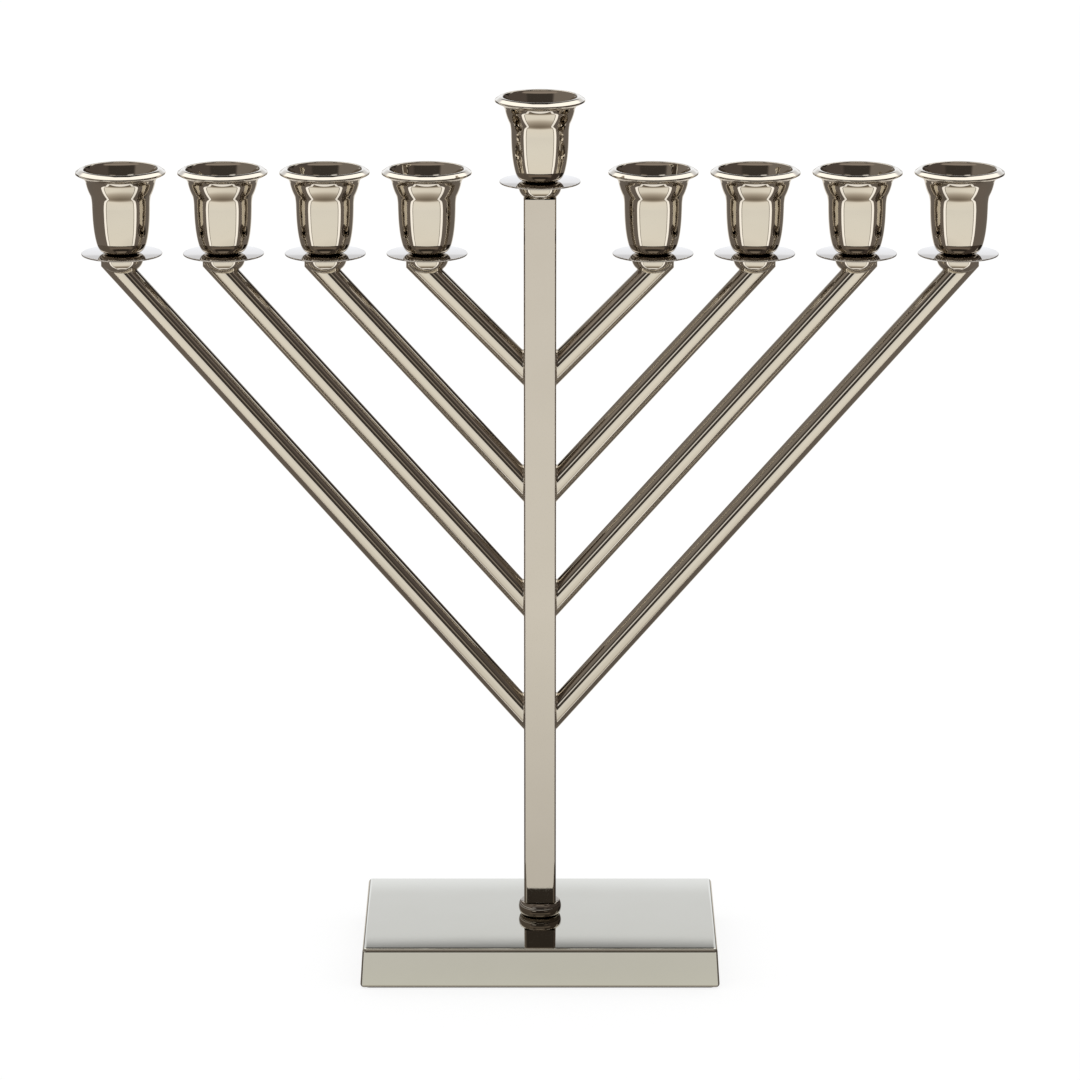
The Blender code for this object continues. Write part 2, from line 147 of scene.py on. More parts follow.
def hang(behind, mask, colour):
    """Hangs a colour in front of what is behind it, where the mask is 1."""
    return add_node(tent, "ShaderNodeMix", {0: mask, 6: behind, 7: colour}, data_type="RGBA").outputs[2]


SHEET_HALF_WIDTH = 56.0  # degrees either side of the front
SHEET_FOOT = 64.0  # degrees below the horizon
SEAM = 2.2
HEM = 10.5
REAR_SLOPE = 168.0  # the rear wall is white where bearing and rise add up to more than this
FLAG_HALF_WIDTH = 20.0  # a dark flag hangs in the middle of the rear wall
# Tone of the cream sheet from its top to its foot: share of the way down, colour and strength.
SHEET_TONES = [(0.0, "#F2F1F0", 1.08), (0.25, "#FAFAF5", 1.17), (0.6, "#FAF8F1", 1.2),
               (0.7, "#F0E8DC", 0.88), (0.8, "#E5DACB", 0.70), (0.9, "#DACCBA", 0.56),
               (1.0, "#CDBEAB", 0.46)]


def missing(mask):
    """Where a mask isn't."""
    return arithmetic("SUBTRACT", 1.0, mask)


fall = arithmetic("MULTIPLY", rise, -1.0)
past_side = arithmetic("SUBTRACT", off_front, SHEET_HALF_WIDTH)
past_foot = arithmetic("SUBTRACT", fall, SHEET_FOOT)
past_sheet = arithmetic("MAXIMUM", past_side, past_foot)
below = rising(fall, 1.5, 0.7)
down_sheet = arithmetic("DIVIDE", fall, SHEET_FOOT)
sheet_tone = add_node(tent, "ShaderNodeValToRGB", {0: down_sheet})
for position, hex_colour, strength in SHEET_TONES[1:-1]:
    sheet_tone.color_ramp.elements.new(position).color = lit(hex_colour, strength)
sheet_tone.color_ramp.elements[0].color = lit(*SHEET_TONES[0][1:])
sheet_tone.color_ramp.elements[-1].color = lit(*SHEET_TONES[-1][1:])

room = hang(lit("#7A726C", 1.05), rising(rise, 0.0, 2.0), lit("#5F5753", 1.0))
room = hang(room, rising(fall, 72.0, 2.0), lit("#8F8780", 1.1))
left_front = shared(strip(bearing, -150.0, -46.0, 8.0), rising(rise, 3.0, 1.5))
room = hang(room, left_front, lit("#8A837D", 1.0))
front_gap = shared(missing(rising(off_front, 46.0, 6.0)), rising(rise, 1.0, 1.5))
room = hang(room, front_gap, lit("#48433F", 1.0))
front_shelf = shared(missing(rising(off_front, 62.0, 6.0)), strip(rise, 29.5, 40.0, 0.8))
room = hang(room, front_shelf, lit("#A89E96", 1.0))
front_card = shared(missing(rising(off_front, 38.0, 6.0)), strip(rise, 52.0, 78.0, 3.0))
room = hang(room, front_card, lit("#B4ACA4", 1.0))
left_gleam = shared(strip(bearing, -42.0, -22.0, 4.0), strip(rise, 11.0, 16.5, 1.0))
room = hang(room, left_gleam, lit("#FFFFFF", 1.0))
right_gleam = shared(strip(bearing, 22.0, 42.0, 4.0), strip(rise, 11.0, 16.5, 1.0))
room = hang(room, right_gleam, lit("#A0988F", 1.0))
rear_gap = shared(strip(bearing, 120.0, 146.0, 3.0), strip(rise, 12.0, 36.0, 2.0))
room = hang(room, rear_gap, lit("#2A2623", 1.0))
high_gleam = shared(strip(bearing, 110.0, 119.0, 2.0), strip(rise, 27.0, 40.0, 2.0))
room = hang(room, high_gleam, lit("#FFFFFF", 1.0))
back_low = shared(rising(off_front, 112.0, 10.0), rising(fall, 1.0, 2.0))
room = hang(room, back_low, lit("#7A736D", 1.0))
hem = shared(strip(past_sheet, SEAM, SEAM + HEM, 0.8), below)
room = hang(room, hem, lit("#FFFFFF", 1.55))
seam = shared(strip(past_sheet, 0.0, SEAM, 0.5), below)
room = hang(room, seam, lit("#766C5F", 0.9))
sheet = shared(missing(rising(past_sheet, 0.0, 0.5)), below)
room = hang(room, sheet, sheet_tone.outputs["Color"])
horizon = shared(strip(rise, -2.2, 1.6, 0.7), missing(rising(off_front, 150.0, 4.0)))
room = hang(room, horizon, lit("#24201D", 0.9))
lamp_edge = shared(strip(bearing, -150.0, -35.0, 10.0), strip(rise, 2.6, 5.6, 0.6))
room = hang(room, lamp_edge, lit("#FFFFFF", 1.3))
rear_card = shared(rising(off_front, 157.0, 2.0), strip(fall, 2.0, 60.0, 3.0))
room = hang(room, rear_card, lit("#EDE7DE", 1.0))
rear_light = hang(lit("#F4F8FF", 1.30), rising(rise, 14.5, 1.5), lit("#F6F9FF", 1.02))
rear_light = hang(rear_light, rising(rise, 27.0, 4.0), lit("#FFFFFF", 1.75))
round_rear = arithmetic("ADD", rise, off_front)
rear_wall = shared(rising(round_rear, REAR_SLOPE, 4.0), rising(rise, 0.5, 0.6))
room = hang(room, rear_wall, rear_light)
flag = shared(rising(off_front, 180.0 - FLAG_HALF_WIDTH, 3.0), strip(rise, 23.0, 70.0, 1.5))
room = hang(room, flag, lit("#2E2A27", 1.0))
soft_box = shared(rising(rise, 74.0, 3.0), missing(rising(forward, 0.0, 0.03)))
room = hang(room, soft_box, lit("#FFFFFF", 1.7))

path = add_node(tent, "ShaderNodeLightPath")
for_eye = add_node(tent, "ShaderNodeBackground", {"Color": (1.0, 1.0, 1.0, 1.0), "Strength": 1.0})
for_metal = add_node(tent, "ShaderNodeBackground", {"Color": room, "Strength": 1.0})
seen = add_node(tent, "ShaderNodeMixShader", {
    0: path.outputs["Is Glossy Ray"], 1: for_eye.outputs[0], 2: for_metal.outputs[0]})
add_node(tent, "ShaderNodeOutputWorld", {"Surface": seen.outputs[0]})

# The table: pale paper, which the metal sees darken towards the foot, a painted shade for its shadow.

FLOOR_SIZE = 24.0
bpy.ops.object.select_all(action="DESELECT")
bpy.ops.mesh.primitive_plane_add(size=FLOOR_SIZE, location=(0.0, 0.0, cad_box[0].z))
floor = bpy.context.object
floor.name = "floor"
paper = bpy.data.materials.new("pale_paper")
paper.use_nodes = True
paper_tree = paper.node_tree
paper_tree.nodes.clear()
floor_place = add_node(paper_tree, "ShaderNodeTexCoord").outputs["Object"]
# Painted shade: for the metal the paper is darkened to 0.78 near the foot, clearing by 0.6 m out.
reach = add_node(paper_tree, "ShaderNodeVectorMath", {0: floor_place}, operation="LENGTH")
nearness = add_node(paper_tree, "ShaderNodeMapRange", {
    "Value": reach.outputs["Value"], "From Min": 0.08, "From Max": 0.60, "To Min": 0.78, "To Max": 1.0})
painted_foot_shade = add_node(paper_tree, "ShaderNodeCombineColor", {
    0: nearness.outputs[0], 1: nearness.outputs[0], 2: nearness.outputs[0]})
glimpse = add_node(paper_tree, "ShaderNodeBsdfTransparent", {"Color": painted_foot_shade.outputs[0]})
paper_light = add_node(paper_tree, "ShaderNodeEmission", {"Strength": 0.82})
paper_white = add_node(paper_tree, "ShaderNodeBsdfDiffuse", {"Color": (0.2, 0.2, 0.2, 1.0)})
paper_both = add_node(paper_tree, "ShaderNodeAddShader", {
    0: paper_light.outputs[0], 1: paper_white.outputs[0]})
floor_path = add_node(paper_tree, "ShaderNodeLightPath")
floor_seen = add_node(paper_tree, "ShaderNodeMixShader", {
    0: floor_path.outputs["Is Glossy Ray"], 1: paper_both.outputs[0], 2: glimpse.outputs[0]})
add_node(paper_tree, "ShaderNodeOutputMaterial", {"Surface": floor_seen.outputs[0]})
floor.data.materials.append(paper)

bpy.context.scene.view_settings.view_transform = "Standard"

# ---------------------------------------------------------------- base shell
# The base is a shallow box pressed from sheet, its sides leaning in and its edges rolled round.
# It is nickel plated over a fine polish, and open below, where the ballast and felt go in.

SHELL_WALL = 1.2 * MM
BASE_DRAFT = 1.2 * MM
BASE_EDGE_RADIUS = 1.8 * MM
BUFF_DEPTH = 0.0002 * MM
# Grain of the buffing lines, in lines per metre across and along them.
EVEN_GRAIN = (900.0, 900.0, 900.0)
UPRIGHT_GRAIN = (2200.0, 2200.0, 60.0)
LATHE_GRAIN = (2600.0, 2600.0, 40.0)


def begin():
    """Deselects everything, so that the next operator acts on the new piece alone."""
    bpy.ops.object.select_all(action="DESELECT")


def settle(piece, name, smooth_angle=35.0):
    """Names a finished piece, shades it and puts its place in its mesh."""
    bpy.ops.object.transform_apply(location=True, rotation=True, scale=True)
    bpy.ops.object.shade_smooth_by_angle(angle=math.radians(smooth_angle))
    piece.name = name
    piece.data.name = name
    return piece


def pick(piece, wanted, kind="verts"):
    """In edit mode, selects only the vertices, edges or faces that wanted(item) is true for."""
    bpy.ops.object.mode_set(mode="OBJECT")
    data = piece.data
    for items in (data.vertices, data.edges, data.polygons):
        items.foreach_set("select", [False] * len(items))
    items = {"verts": data.vertices, "edges": data.edges, "faces": data.polygons}[kind]
    for item in items:
        item.select = wanted(item)
    bpy.ops.object.mode_set(mode="EDIT")
    bpy.ops.mesh.select_mode(type={"verts": "VERT", "edges": "EDGE", "faces": "FACE"}[kind])


def apply_modifiers(piece):
    """Applies the piece's modifiers from the top down."""
    for modifier in list(piece.modifiers):
        bpy.ops.object.modifier_apply(modifier=modifier.name)


def new_material(name):
    """A new material with its tree, its shader and the piece's own coordinates."""
    material = bpy.data.materials.new(name)
    material.use_nodes = True
    tree = material.node_tree
    shader = tree.nodes["Principled BSDF"]
    place = add_node(tree, "ShaderNodeTexCoord").outputs["Object"]
    return material, tree, shader, place


def nickel_plate(name, tint, deep_tint, roughness, wave, grain, marks=None):
    """Bright nickel plate over buffed metal: a warm mirror, faintly clouded, with fine buffing lines.

    The lines run along the axis of least grain, in object space or in the marks attribute's space.
    The lines of a real buff are finer than the eye can part; here they are drawn near 0.4 mm apart.
    """
    material, tree, shader, place = new_material(name)
    shader.inputs["Metallic"].default_value = 1.0
    cloud = add_node(tree, "ShaderNodeTexNoise", {"Vector": place, "Scale": 45.0, "Detail": 3.0})
    tone = add_node(tree, "ShaderNodeMix", {
        0: cloud.outputs[0], 6: (*linear(tint), 1.0), 7: (*linear(deep_tint), 1.0)}, data_type="RGBA")
    tree.links.new(tone.outputs[2], shader.inputs["Base Color"])
    lines_at = place
    if marks:
        lines_at = add_node(tree, "ShaderNodeAttribute", attribute_name=marks).outputs["Vector"]
    drawn = add_node(tree, "ShaderNodeMapping", {"Vector": lines_at, "Scale": grain}).outputs[0]
    buffing = {"Vector": drawn, "Scale": 1.0, "Detail": 4.0}
    lines = add_node(tree, "ShaderNodeTexNoise", buffing).outputs[0]
    gloss = add_node(tree, "ShaderNodeMapRange", {
        "Value": lines, "From Min": 0.3, "From Max": 0.75,
        "To Min": 0.7 * roughness, "To Max": 1.6 * roughness})
    tree.links.new(gloss.outputs[0], shader.inputs["Roughness"])
    swell = add_node(tree, "ShaderNodeTexNoise", {"Vector": place, "Scale": 160.0, "Detail": 1.0})
    soft = add_node(tree, "ShaderNodeBump", {
        "Height": swell.outputs[0], "Distance": wave, "Strength": 1.0}).outputs[0]
    fine = add_node(tree, "ShaderNodeBump", {
        "Height": lines, "Distance": BUFF_DEPTH, "Strength": 0.5, "Normal": soft}).outputs[0]
    tree.links.new(fine, shader.inputs["Normal"])
    return material


LEVEL_FACE = 0.9  # a face is level where its normal points up or down by more than this

base_low, base_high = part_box("base_shell")
base_size = base_high - base_low
begin()
bpy.ops.mesh.primitive_cube_add(size=1.0, location=(base_low + base_high) / 2, scale=base_size)
base = bpy.context.object
bpy.ops.object.transform_apply(location=True, rotation=True, scale=True)
pick(base, lambda v: v.co.z > base_low.z + base_size.z / 2)
drawn_in = (1 - 2 * BASE_DRAFT / base_size.x, 1 - 2 * BASE_DRAFT / base_size.y, 1.0)
bpy.ops.transform.resize(value=drawn_in, center_override=(0.0, 0.0, base_high.z))
base_points = base.data.vertices
half_way = base_low.z + base_size.z / 2
pick(base, lambda e: max(base_points[i].co.z for i in e.vertices) > half_way, "edges")
bpy.ops.mesh.bevel(offset=BASE_EDGE_RADIUS, segments=10, profile=0.5, affect="EDGES")
pick(base, lambda f: f.normal.z < -LEVEL_FACE, "faces")
bpy.ops.mesh.delete(type="FACE")
bpy.ops.object.mode_set(mode="OBJECT")
wall = base.modifiers.new("wall", "SOLIDIFY")
wall.thickness = SHELL_WALL
wall.offset = -1.0
wall.use_even_offset = True
apply_modifiers(base)
settle(base, "base")
base.data.materials.append(nickel_plate(
    "base_nickel_plate", "#C9C6BB", "#C5C2B6", 0.035, 0.002 * MM, EVEN_GRAIN))
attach(base, "stand")
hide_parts("base_shell")

# ---------------------------------------------------------------- column
# The column is a square steel tube with softly rounded corners, drawn, buffed along its length
# and nickel plated. It stands on the bead and carries the centre bowl.

COLUMN_WALL = 1.2 * MM
COLUMN_EDGE_RADIUS = 1.55 * MM

column_low, column_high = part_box("column")
column_size = column_high - column_low
begin()
bpy.ops.mesh.primitive_cube_add(size=1.0, location=(column_low + column_high) / 2, scale=column_size)
column = bpy.context.object
bpy.ops.object.transform_apply(location=True, rotation=True, scale=True)
pick(column, lambda e: abs(column.data.vertices[e.vertices[0]].co.z
                           - column.data.vertices[e.vertices[1]].co.z) > column_size.z / 2, "edges")
bpy.ops.mesh.bevel(offset=COLUMN_EDGE_RADIUS, segments=10, profile=0.5, affect="EDGES")
pick(column, lambda f: abs(f.normal.z) > LEVEL_FACE, "faces")
bpy.ops.mesh.delete(type="FACE")
bpy.ops.object.mode_set(mode="OBJECT")
wall = column.modifiers.new("wall", "SOLIDIFY")
wall.thickness = COLUMN_WALL
wall.offset = -1.0
wall.use_even_offset = True
apply_modifiers(column)
settle(column, "column_tube")
column.data.materials.append(nickel_plate(
    "column_nickel_plate", "#C3BBB0", "#BEB6AA", 0.045, 0.002 * MM, UPRIGHT_GRAIN))
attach(column, "stand")
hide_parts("column")

# ---------------------------------------------------------------- foot bead
# A round bead turned from brass and nickel plated, clamped between the base and the column.

TURNED_SIDES = 96
BEAD_SHOULDER = 1.5 * MM
STUD_HOLE_RADIUS = 3.3 * MM


def arc(centre, radii, start, end, steps):
    """Points of an arc or part of an ellipse in a turned outline, angles in degrees."""
    points = []
    for i in range(steps + 1):
        angle = math.radians(start + (end - start) * i / steps)
        across, up = radii[0] * math.cos(angle), radii[1] * math.sin(angle)
        points.append((centre[0] + across, centre[1] + up))
    return points


def turned(name, centre, outline, sides=TURNED_SIDES, ring=False, smooth_angle=35.0):
    """Turns an outline of (radius, height) points. A ring's two ends meet; other outlines are capped."""
    begin()
    start_radius, start_height = outline[0]
    bpy.ops.mesh.primitive_circle_add(vertices=sides, radius=start_radius, fill_type="NOTHING",
                                      location=centre + Vector((0, 0, start_height)))
    piece = bpy.context.object
    bpy.ops.object.mode_set(mode="EDIT")
    bpy.ops.mesh.select_mode(type="VERT")
    bpy.ops.mesh.select_all(action="SELECT")
    radius, height = start_radius, start_height
    for next_radius, next_height in outline[1:]:
        rise_by = (0.0, 0.0, next_height - height)
        bpy.ops.mesh.extrude_region_move(TRANSFORM_OT_translate={"value": rise_by})
        share = next_radius / radius
        bpy.ops.transform.resize(value=(share, share, 1.0), center_override=centre)
        radius, height = next_radius, next_height
    bpy.ops.mesh.select_all(action="SELECT")
    if ring:
        bpy.ops.mesh.remove_doubles(threshold=0.000001)
    else:
        bpy.ops.mesh.fill_holes(sides=0)
        bpy.ops.mesh.select_all(action="SELECT")
    bpy.ops.mesh.normals_make_consistent(inside=False)
    bpy.ops.object.mode_set(mode="OBJECT")
    settle(piece, name, smooth_angle)
    lathe = piece.data.attributes.new("lathe", "FLOAT_VECTOR", "POINT")
    for vertex, mark in zip(piece.data.vertices, lathe.data):
        across = math.hypot(vertex.co.x - centre[0], vertex.co.y - centre[1])
        mark.vector = (across, vertex.co.z - centre[2], 0.0)
    return piece


def copied(piece, name, shift):
    """A copy of a finished piece with its own mesh, moved by the shift."""
    begin()
    piece.select_set(True)
    bpy.context.view_layer.objects.active = piece
    bpy.ops.object.duplicate()
    copy = bpy.context.object
    bpy.ops.transform.translate(value=shift)
    bpy.ops.object.transform_apply(location=True, rotation=True, scale=True)
    copy.name = name
    copy.data.name = name
    return copy


bead_low, bead_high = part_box("foot_bead")
bead_radius = (bead_high.x - bead_low.x) / 2
bead_height = bead_high.z - bead_low.z
bead_middle = (bead_radius - BEAD_SHOULDER, bead_height / 2)
bead_side = arc(bead_middle, (BEAD_SHOULDER, bead_height / 2), -90, 90, 24)
bead_bore = [(STUD_HOLE_RADIUS, bead_height), (STUD_HOLE_RADIUS, 0.0)]
bead_outline = [bead_bore[-1], *bead_side, *bead_bore]
bead = turned("bead", Vector((0.0, 0.0, bead_low.z)), bead_outline, ring=True)
# The bead's plate is drawn darker than the other nickel, a painted shade for the dark it shows between
# base and column.
bead.data.materials.append(nickel_plate(
    "bead_nickel_painted_shade", "#A69E93", "#9B9388", 0.03, 0.003 * MM, LATHE_GRAIN, "lathe"))
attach(bead, "stand")
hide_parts("foot_bead")

# ---------------------------------------------------------------- bowls
# Each bowl is a half-round socket turned from brass bar, with a short straight lip and a blind
# hole for the cup's screw. It is brazed into the end of its arm, or onto the column's top.

PLACES = [f"left_{n}" for n in (4, 3, 2, 1)] + ["centre"] + [f"right_{n}" for n in (1, 2, 3, 4)]
BOWL_LIP = 1.9 * MM
BOWL_FULL_DEPTH = 8.5 * MM
BOWL_BORE_RADIUS = 2.0 * MM
BOWL_BORE_DEPTH = 5.0 * MM
LIP_ROUND = 0.25 * MM


def middle(node):
    """The middle of a CAD node's box, seen from above."""
    low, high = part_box(node)
    return (low.x + high.x) / 2, (low.y + high.y) / 2


def bowl_outline(radius, depth):
    """A bowl's section from the bottom of its bore, over the lip and round to its foot."""
    round_depth = BOWL_FULL_DEPTH - BOWL_LIP
    reach = math.degrees(math.asin(min(1.0, (depth - BOWL_LIP) / round_depth)))
    reach = min(reach, 88.0)
    side = arc((0.0, -BOWL_LIP), (radius, round_depth), 0, -reach, 28)
    rim = arc((radius - LIP_ROUND, -LIP_ROUND), (LIP_ROUND, LIP_ROUND), 90, 0, 5)
    return [(BOWL_BORE_RADIUS, -BOWL_BORE_DEPTH), (BOWL_BORE_RADIUS, 0.0), *rim, *side]


bowl_nickel = nickel_plate(
    "bowl_nickel_plate", "#CFC7BA", "#C8C0B2", 0.03, 0.003 * MM, LATHE_GRAIN, "lathe")
side_bowl = None
for place in PLACES:
    low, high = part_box(f"bowl_{place}")
    top = Vector((*middle(f"bowl_{place}"), high.z))
    if place == "centre" or side_bowl is None:
        bowl = turned(f"bowl_{place}_turned", top, bowl_outline((high.x - low.x) / 2, high.z - low.z))
        bowl.data.materials.append(bowl_nickel)
    else:
        bowl = copied(side_bowl, f"bowl_{place}_turned", top - side_bowl_top)
    if side_bowl is None:
        side_bowl, side_bowl_top = bowl, top
    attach(bowl, "stand")
    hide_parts(f"bowl_{place}")

# ---------------------------------------------------------------- drip pans
# Each pan is a flat disc stamped from sheet, its edge rounded over, held between cup and bowl.

PAN_HOLE_RADIUS = 2.0 * MM
PAN_EDGE_ROUND = 0.3 * MM

pan_low, pan_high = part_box("drip_pan_centre")
pan_radius = (pan_high.x - pan_low.x) / 2
pan_height = pan_high.z - pan_low.z
round_radii = (PAN_EDGE_ROUND, PAN_EDGE_ROUND)
pan_edge = arc((pan_radius - PAN_EDGE_ROUND, PAN_EDGE_ROUND), round_radii, -90, 0, 4)
pan_edge += arc((pan_radius - PAN_EDGE_ROUND, pan_height - PAN_EDGE_ROUND), round_radii, 0, 90, 4)
pan_hole = [(PAN_HOLE_RADIUS, pan_height), (PAN_HOLE_RADIUS, 0.0)]
pan_outline = [pan_hole[-1], *pan_edge, *pan_hole]
centre_seat = Vector((*middle("drip_pan_centre"), pan_low.z))
pan = turned("pan_centre", centre_seat, pan_outline, ring=True)
pan.data.materials.append(nickel_plate(
    "pan_nickel_plate", "#C5BFB8", "#BFB9B1", 0.04, 0.001 * MM, LATHE_GRAIN, "lathe"))


def seat(place):
    """Where the underside of a place's drip pan meets its bowl."""
    return Vector((*middle(f"drip_pan_{place}"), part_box(f"drip_pan_{place}")[0].z))


for place in PLACES:
    if place != "centre":
        holder_pan = copied(pan, f"pan_{place}", seat(place) - centre_seat)
    else:
        holder_pan = pan
    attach(holder_pan, f"holder_{place}")
    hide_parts(f"drip_pan_{place}")

# ---------------------------------------------------------------- cups
# Each cup is spun from brass sheet over a former: a flared mouth with a rolled brim, a funnel,
# a crease at the waist and a round-bottomed barrel. It is buffed on the lathe and nickel plated.

CUP_WALL = 0.9 * MM
SCREW_HOLE_RADIUS = 2.0 * MM
# How far the wall leans in, in degrees, at distances below the crest of the brim in mm.
WALL_LEAN = [(3.75, 50.0), (3.9, 31.5), (5.4, 26.6), (5.8, 11.0), (8.0, 15.0), (11.6, 26.0),
             (12.6, 14.0), (14.2, 7.0), (16.5, 1.0), (22.0, 2.6), (28.0, 7.0), (33.0, 13.5),
             (35.4, 24.0), (36.6, 42.0), (37.75, 74.0)]
# The brim's two sides, in mm from the cup's axis and above the crest. The tip lies between them.
UNDER_BRIM = [(17.4, -3.5), (18.3, -3.14), (19.1, -2.75), (19.55, -2.42)]
OVER_BRIM = [(19.3, -1.1), (18.8, -0.72), (18.2, -0.32), (17.6, -0.1), (17.1, 0.0), (16.8, -0.03),
             (16.5, -0.25), (16.2, -0.75), (15.75, -2.0), (15.3, -3.4), (14.85, -4.9)]
# The floor's rounded edge, in from the wall's foot and up from the underside, in walls.
FLOOR_EDGE = [(0.4, 1.35), (1.3, 1.08), (2.6, 1.0)]
NECK_RADIUS = 16.62 * MM  # where the brim's underside turns down into the neck
NECK_FILLET = 2.25 * MM
FOOT_ROUND = 0.3 * MM
TIP_ROUND = 0.2 * MM
TIP_DROP = 1.6 * MM
TIP_FACE = 0.45 * MM
TIP_LEAN = 15.0  # degrees by which the tip's flat face looks up
RING_STEP = 0.45 * MM
STEEP_RING_STEP = 0.15 * MM
STEEP_LEAN = math.radians(27)


def lean_at(drop):
    """The wall's lean at a distance below the crest, in radians."""
    for (near, near_lean), (far, far_lean) in zip(WALL_LEAN, WALL_LEAN[1:]):
        if drop <= far * MM:
            share = (drop / MM - near) / (far - near)
            return math.radians(near_lean + (far_lean - near_lean) * max(0.0, share))
    return math.radians(WALL_LEAN[-1][1])


def cup_outlines(height):
    """The cup's outer and inner wall from the neck down, as (radius, height) points."""
    outer, inner = [], []
    radius = NECK_RADIUS
    neck = WALL_LEAN[0][0] * MM
    drop = neck
    while drop < height:
        lean = lean_at(drop)
        outer.append((radius, height - drop))
        if drop > neck + NECK_FILLET and height - drop > 2 * CUP_WALL:
            across, up = CUP_WALL * math.cos(lean), CUP_WALL * math.sin(lean)
            inner.append((radius - across, height - drop + up))
        pace = STEEP_RING_STEP if lean > STEEP_LEAN else RING_STEP
        radius -= pace * math.tan(lean_at(drop + pace / 2))
        drop += pace
    return outer, inner


def cup_section(height, brim_radius):
    """The whole section: underside, outer wall, brim, inner wall and floor, back to the screw hole."""
    outer, inner = cup_outlines(height)
    foot = outer[-1][0] - FOOT_ROUND
    underside = [(SCREW_HOLE_RADIUS, 0.0), (foot, 0.0)]
    lean_out = TIP_FACE * math.tan(math.radians(TIP_LEAN))
    rounding = (TIP_ROUND, TIP_ROUND)
    tip = arc((brim_radius - TIP_ROUND, height - TIP_DROP - TIP_FACE), rounding, -60, TIP_LEAN, 5)
    tip += arc((brim_radius - TIP_ROUND - lean_out, height - TIP_DROP), rounding, TIP_LEAN, 58, 4)
    brim = [(r * MM, height + z * MM) for r, z in UNDER_BRIM]
    crest = [(r * MM, height + z * MM) for r, z in OVER_BRIM]
    corner = inner[-1][0]
    floor_edge = [(corner - inward * CUP_WALL, up * CUP_WALL) for inward, up in FLOOR_EDGE]
    inside = [*crest, *inner, *floor_edge, (SCREW_HOLE_RADIUS, CUP_WALL)]
    return [*underside, *reversed(outer), *brim, *tip, *inside, (SCREW_HOLE_RADIUS, 0.0)]


cup_low, cup_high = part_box("cup_centre")
section = cup_section(cup_high.z - cup_low.z, (cup_high.x - cup_low.x) / 2)
cup_place = Vector((*middle("cup_centre"), cup_low.z))
cup = turned("cup_centre_spun", cup_place, section, ring=True, smooth_angle=60.0)
cup.data.materials.append(nickel_plate(
    "spun_nickel_plate", "#CFC7BA", "#C8C0B2", 0.03, 0.002 * MM, LATHE_GRAIN, "lathe"))
for place in PLACES:
    spun = cup if place == "centre" else copied(cup, f"cup_{place}_spun", seat(place) - centre_seat)
    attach(spun, f"holder_{place}")
    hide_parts(f"cup_{place}")

# ---------------------------------------------------------------- cup screws
# A slotted cheese-head screw of zinc-plated steel goes down through each cup's floor and pan into
# the bowl. Its head has a rounded rim, and the thread below is drawn as plain rings.

HEAD_RADIUS = 3.2 * MM
HEAD_HEIGHT = 2.2 * MM
HEAD_ROUND = 0.5 * MM
SHANK_RADIUS = 1.7 * MM
THREAD_PITCH = 0.7 * MM
THREAD_DEPTH = 0.35 * MM
TIP_TAPER = 0.5 * MM
SLOT_WIDTH = 1.0 * MM
SLOT_DEPTH = 1.0 * MM
SLOT_TURN = 37.0  # degrees by which each screw came to rest past its neighbour


def zinc_plate(name):
    """Zinc-plated steel: a dull cool grey with a patchy crystalline bloom and worn, brighter spots."""
    material, tree, shader, place = new_material(name)
    shader.inputs["Metallic"].default_value = 1.0
    crystals = {"Vector": place, "Scale": 900.0, "Detail": 5.0}
    bloom = add_node(tree, "ShaderNodeTexNoise", crystals).outputs[0]
    tone = add_node(tree, "ShaderNodeMix", {
        0: bloom, 6: (*linear("#8F9296"), 1.0), 7: (*linear("#B9B8B2"), 1.0)}, data_type="RGBA")
    tree.links.new(tone.outputs[2], shader.inputs["Base Color"])
    dull = add_node(tree, "ShaderNodeMapRange", {"Value": bloom, "To Min": 0.22, "To Max": 0.48})
    tree.links.new(dull.outputs[0], shader.inputs["Roughness"])
    grit = add_node(tree, "ShaderNodeBump", {"Height": bloom, "Distance": 0.004 * MM, "Strength": 0.6})
    tree.links.new(grit.outputs[0], shader.inputs["Normal"])
    return material


screw_low, screw_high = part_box("cup_screw_centre")
shank_length = screw_high.z - screw_low.z - HEAD_HEIGHT
screw_outline = [(SHANK_RADIUS - TIP_TAPER, 0.0)]
turn_level = TIP_TAPER
while turn_level + THREAD_PITCH < shank_length - THREAD_PITCH:
    screw_outline.append((SHANK_RADIUS - THREAD_DEPTH, turn_level))
    screw_outline.append((SHANK_RADIUS, turn_level + THREAD_PITCH / 2))
    turn_level += THREAD_PITCH
screw_outline += [(SHANK_RADIUS - THREAD_DEPTH, turn_level),
                  (SHANK_RADIUS - THREAD_DEPTH, shank_length)]
screw_outline += [(HEAD_RADIUS, shank_length)]
screw_outline += arc((HEAD_RADIUS - HEAD_ROUND, shank_length + HEAD_HEIGHT - HEAD_ROUND),
                     (HEAD_ROUND, HEAD_ROUND), 0, 90, 6)
screw_place = Vector((*middle("cup_screw_centre"), screw_low.z))
screw = turned("screw_centre", screw_place, screw_outline, sides=48)
begin()
bpy.ops.mesh.primitive_cube_add(
    size=1.0, location=(screw_place.x, screw_place.y, screw_high.z),
    scale=(3 * HEAD_RADIUS, SLOT_WIDTH, 2 * SLOT_DEPTH), rotation=(0.0, 0.0, math.radians(SLOT_TURN)))
slot_tool = bpy.context.object
begin()
screw.select_set(True)
bpy.context.view_layer.objects.active = screw
slot_cut = screw.modifiers.new("slot", "BOOLEAN")
slot_cut.operation = "DIFFERENCE"
slot_cut.solver = "EXACT"
slot_cut.object = slot_tool
apply_modifiers(screw)
bpy.data.objects.remove(slot_tool)
settle(screw, "screw_centre", 30.0)
zinc = zinc_plate("zinc_plated_steel")
screw.data.materials.append(zinc)
